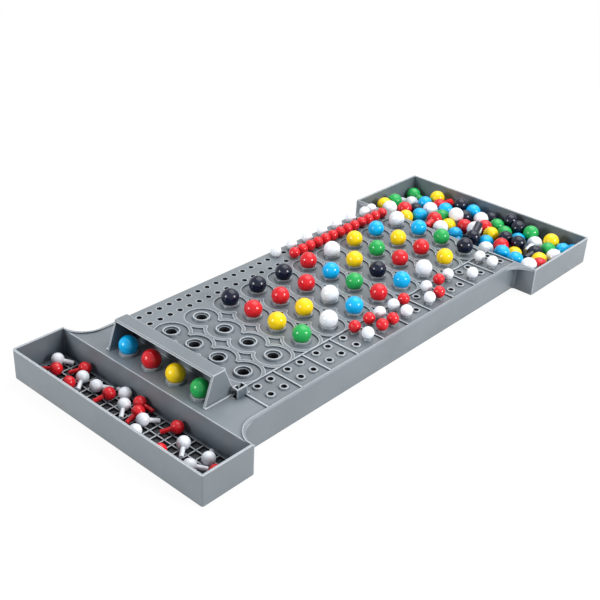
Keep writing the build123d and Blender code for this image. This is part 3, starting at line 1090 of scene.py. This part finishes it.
@dataclass(frozen=True)
class PegFinder:
    """Reads the places of a CAD node's pegs from its solids."""

    shape: PegShape

    def places(self, node: str) -> list[Matrix]:
        """Find each peg of a node.

        Args:
            node: Name of the CAD node.

        Returns:
            One transform for each peg, from the shape's own place.
        """
        mesh = bmesh.new()
        mesh.from_mesh(frame["nodes"][node].data)
        bmesh.ops.remove_doubles(mesh, verts=mesh.verts, dist=MERGE_DISTANCE)
        found = [self._place(island) for island in self._islands(mesh)]
        mesh.free()
        return found

    @staticmethod
    def _islands(mesh: bmesh.types.BMesh) -> Iterator[list[bmesh.types.BMFace]]:
        """Split a mesh into its separate solids, as lists of faces."""
        left = set(mesh.faces)
        for start in mesh.faces:
            if start not in left:
                continue
            left.remove(start)
            queue = [start]
            island = []
            while queue:
                face = queue.pop()
                island.append(face)
                for edge in face.edges:
                    for other in edge.link_faces:
                        if other in left:
                            left.remove(other)
                            queue.append(other)
            yield sorted(island, key=lambda face: face.index)

    def _place(self, island: Sequence[bmesh.types.BMFace]) -> Matrix:
        """Transform that takes the shape to one solid.

        The long axis is that of the solid's second moments, summed over the tetrahedra between its
        faces and its middle.

        Args:
            island: The solid's faces, three-cornered.

        Returns:
            The transform.
        """
        corners = np.array([[point.co for point in face.verts] for face in island])
        middle = corners.reshape(-1, 3).mean(axis=0)
        a, b, c = np.moveaxis(corners - middle, 1, 0)
        volumes = np.einsum("ij,ij->i", a, np.cross(b, c)) / 6
        sums = a + b + c
        centroid = (volumes[:, None] * sums).sum(axis=0) / 4 / volumes.sum()
        parts = (a, b, c, sums)
        moments = sum(np.einsum("i,ij,ik->jk", volumes, part, part) for part in parts) / 20
        moments -= volumes.sum() * np.outer(centroid, centroid)
        _, axes = np.linalg.eigh(moments)
        axis = axes[:, 2]
        reach = (corners.reshape(-1, 3) - middle - centroid) @ axis
        if abs(reach.min()) > reach.max():
            axis, reach = -axis, -reach
        ball = middle + centroid + axis * (reach.max() - self.shape.length)
        z = Vector(-axis).normalized()
        x = Vector(axes[:, 0]).normalized()
        y = z.cross(x).normalized()
        turn = Matrix((y.cross(z), y, z)).transposed().to_4x4()
        return Matrix.Translation(Vector(ball)) @ turn


@dataclass(frozen=True)
class PegSet:
    """All the pegs of one size, one piece for each CAD node."""

    shape: PegShape

    def build(self, wardrobe: Wardrobe) -> list[bpy.types.Object]:
        """Model the peg once and put copies in every place of it.

        Args:
            wardrobe: Where materials come from.

        Returns:
            The pieces.
        """
        master = self.shape.build()
        finder = PegFinder(self.shape)
        nodes = [name for name in sorted(frame["nodes"]) if name.startswith(self.shape.node_starts)]
        made = [self._piece(node, finder.places(node), master, wardrobe) for node in nodes]
        bpy.data.objects.remove(master)
        return made

    @staticmethod
    def _piece(
        node: str, places: Sequence[Matrix], master: bpy.types.Object, wardrobe: Wardrobe
    ) -> bpy.types.Object:
        """Copy the master to each place and join the copies.

        Args:
            node: The CAD node that the piece stands for.
            places: Where its pegs are.
            master: The peg at the origin.
            wardrobe: Where materials come from.

        Returns:
            The piece.
        """
        copies = []
        for place in places:
            thing = bpy.data.objects.new(f"{node}_piece", master.data.copy())
            thing.data.transform(place)
            bpy.context.scene.collection.objects.link(thing)
            copies.append(thing)
        finish = Finish("peg_" + node.rsplit("_", 1)[1])
        return dress(join(copies), finish, node, wardrobe)


CODE_PEG = PegShape(
    kind=PegKind.CODE,
    node_starts=("secret_peg", "guess_peg", "tray_code"),
    ball_radius=5.7 * MM,
    stem_radius=2.8 * MM,
    stem_length=8.0 * MM,
    end_chamfer=0.4 * MM,
    notch_reach=0.4 * MM,
    notch_depth=5.0 * MM,
)
KEY_PEG = PegShape(
    kind=PegKind.KEY,
    node_starts=("key_pegs", "score_pegs", "tray_key"),
    ball_radius=3.85 * MM,
    stem_radius=1.35 * MM,
    stem_length=5.7 * MM,
    end_chamfer=0.25 * MM,
    notch_reach=0.55 * MM,
    notch_depth=0.8 * MM,
    segments=32,
)


# ---------------------------------------------------------------- studio


@dataclass(frozen=True)
class Lamp:
    """One soft square lamp, aimed at the middle of the board."""

    name: str
    place: Place
    side: float
    power: float
    aim: Place = (0.0, 0.0, 0.02)

    def build(self) -> bpy.types.Object:
        """Hang the lamp."""
        data = bpy.data.lights.new(self.name, "AREA")
        data.shape = "SQUARE"
        data.size = self.side
        data.energy = self.power
        lamp = bpy.data.objects.new(self.name, data)
        bpy.context.scene.collection.objects.link(lamp)
        lamp.location = self.place
        ray = Vector(self.aim) - Vector(self.place)
        lamp.rotation_euler = ray.to_track_quat("-Z", "Y").to_euler()
        return lamp


LAMPS = (
    Lamp("right_softbox", (0.27, -1.22, 0.62), side=0.42, power=16.0),
    Lamp("left_softbox", (-1.23, 0.46, 0.49), side=0.40, power=11.5),
    Lamp("top_softbox", (0.45, 0.02, 1.22), side=1.3, power=20.5),
)


@dataclass(frozen=True)
class Studio:
    """White sweep, soft lamps and the camera."""

    plan: BoardPlan = BOARD
    camera_place: Place = (-0.4511, -0.3584, 0.3337)
    camera_forward: Place = (0.6595, 0.5684, -0.4919)
    camera_right: Place = (0.6709, -0.7402, 0.0443)
    camera_near: float = 0.01
    lens: float = 60.58
    sensor: float = 36.0
    world_colour: Colour = (0.93, 0.96, 1.0)
    world_level: float = 0.30
    white: Colour = (1.0, 1.0, 1.0)
    paper_colour: Colour = (0.85, 0.85, 0.85)
    floor_size: float = 8.0
    floor_cells: int = 4
    floor_level: float = 0.93
    fade_start: float = 0.40
    fade_end: float = 0.95

    def build(self) -> None:
        """Set up everything round the object."""
        self._camera()
        self._world()
        self._floor()
        for lamp in LAMPS:
            lamp.build()
        bpy.context.scene.view_settings.view_transform = "Standard"

    def _camera(self) -> None:
        """Place the camera at the photograph's viewpoint."""
        data = bpy.data.cameras.new("camera")
        data.lens = self.lens
        data.sensor_width = self.sensor
        data.clip_start = self.camera_near
        camera = bpy.data.objects.new("camera", data)
        bpy.context.scene.collection.objects.link(camera)
        forward = Vector(self.camera_forward).normalized()
        right = Vector(self.camera_right)
        right = (right - forward * right.dot(forward)).normalized()
        turn = Matrix((right, right.cross(forward), -forward)).transposed().to_4x4()
        camera.matrix_world = Matrix.Translation(Vector(self.camera_place)) @ turn
        bpy.context.scene.camera = camera

    def _world(self) -> None:
        """Even pale light, white to the camera and in reflections."""
        world = bpy.data.worlds.new("studio_world")
        world.use_nodes = True
        bpy.context.scene.world = world
        nodes = Nodes(world.node_tree)
        soft, white = (
            nodes.add("ShaderNodeBackground", {}, {"Color": rgba(colour), "Strength": level})
            for colour, level in ((self.world_colour, self.world_level), (self.white, 1.0))
        )
        nodes.finish(nodes.blend(nodes.seen(), soft, white), "ShaderNodeOutputWorld")

    def _floor(self) -> None:
        """White floor, faintly shadowed, plain white far off and dark below the deck."""
        deselect()
        bpy.ops.mesh.primitive_grid_add(
            x_subdivisions=self.floor_cells, y_subdivisions=self.floor_cells, size=self.floor_size
        )
        floor = bpy.context.object
        floor.name = "studio_floor"
        material = bpy.data.materials.new("white_sweep")
        material.use_nodes = True
        nodes = Nodes(material.node_tree)
        x, y, z = nodes.axes()
        far = nodes.ramp(x * x + y * y, ((self.fade_start**2, 0.0), (self.fade_end**2, 1.0)))
        level = self.floor_level + far * (1.0 - self.floor_level)
        shown = nodes.seen() * level * (1 - self.plan.under_deck().mask(x, y, z))
        paper = nodes.add("ShaderNodeBsdfDiffuse", {}, {"Color": rgba(self.paper_colour)})
        glow = nodes.add("ShaderNodeEmission", {}, {"Color": rgba(self.white), "Strength": 1.0})
        nodes.finish(nodes.blend(shown, paper, glow))
        floor.data.materials.append(material)


def main() -> None:
    """Build every piece, then the studio."""
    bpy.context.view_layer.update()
    wardrobe = Wardrobe()
    MouldedPart("game_board", "moulded_board", FinePockets()).build(wardrobe)
    MouldedPart("code_shield", "moulded_shield").build(wardrobe)
    for shape in (CODE_PEG, KEY_PEG):
        PegSet(shape).build(wardrobe)
    Studio().build()


if __name__ == "__main__":
    main()
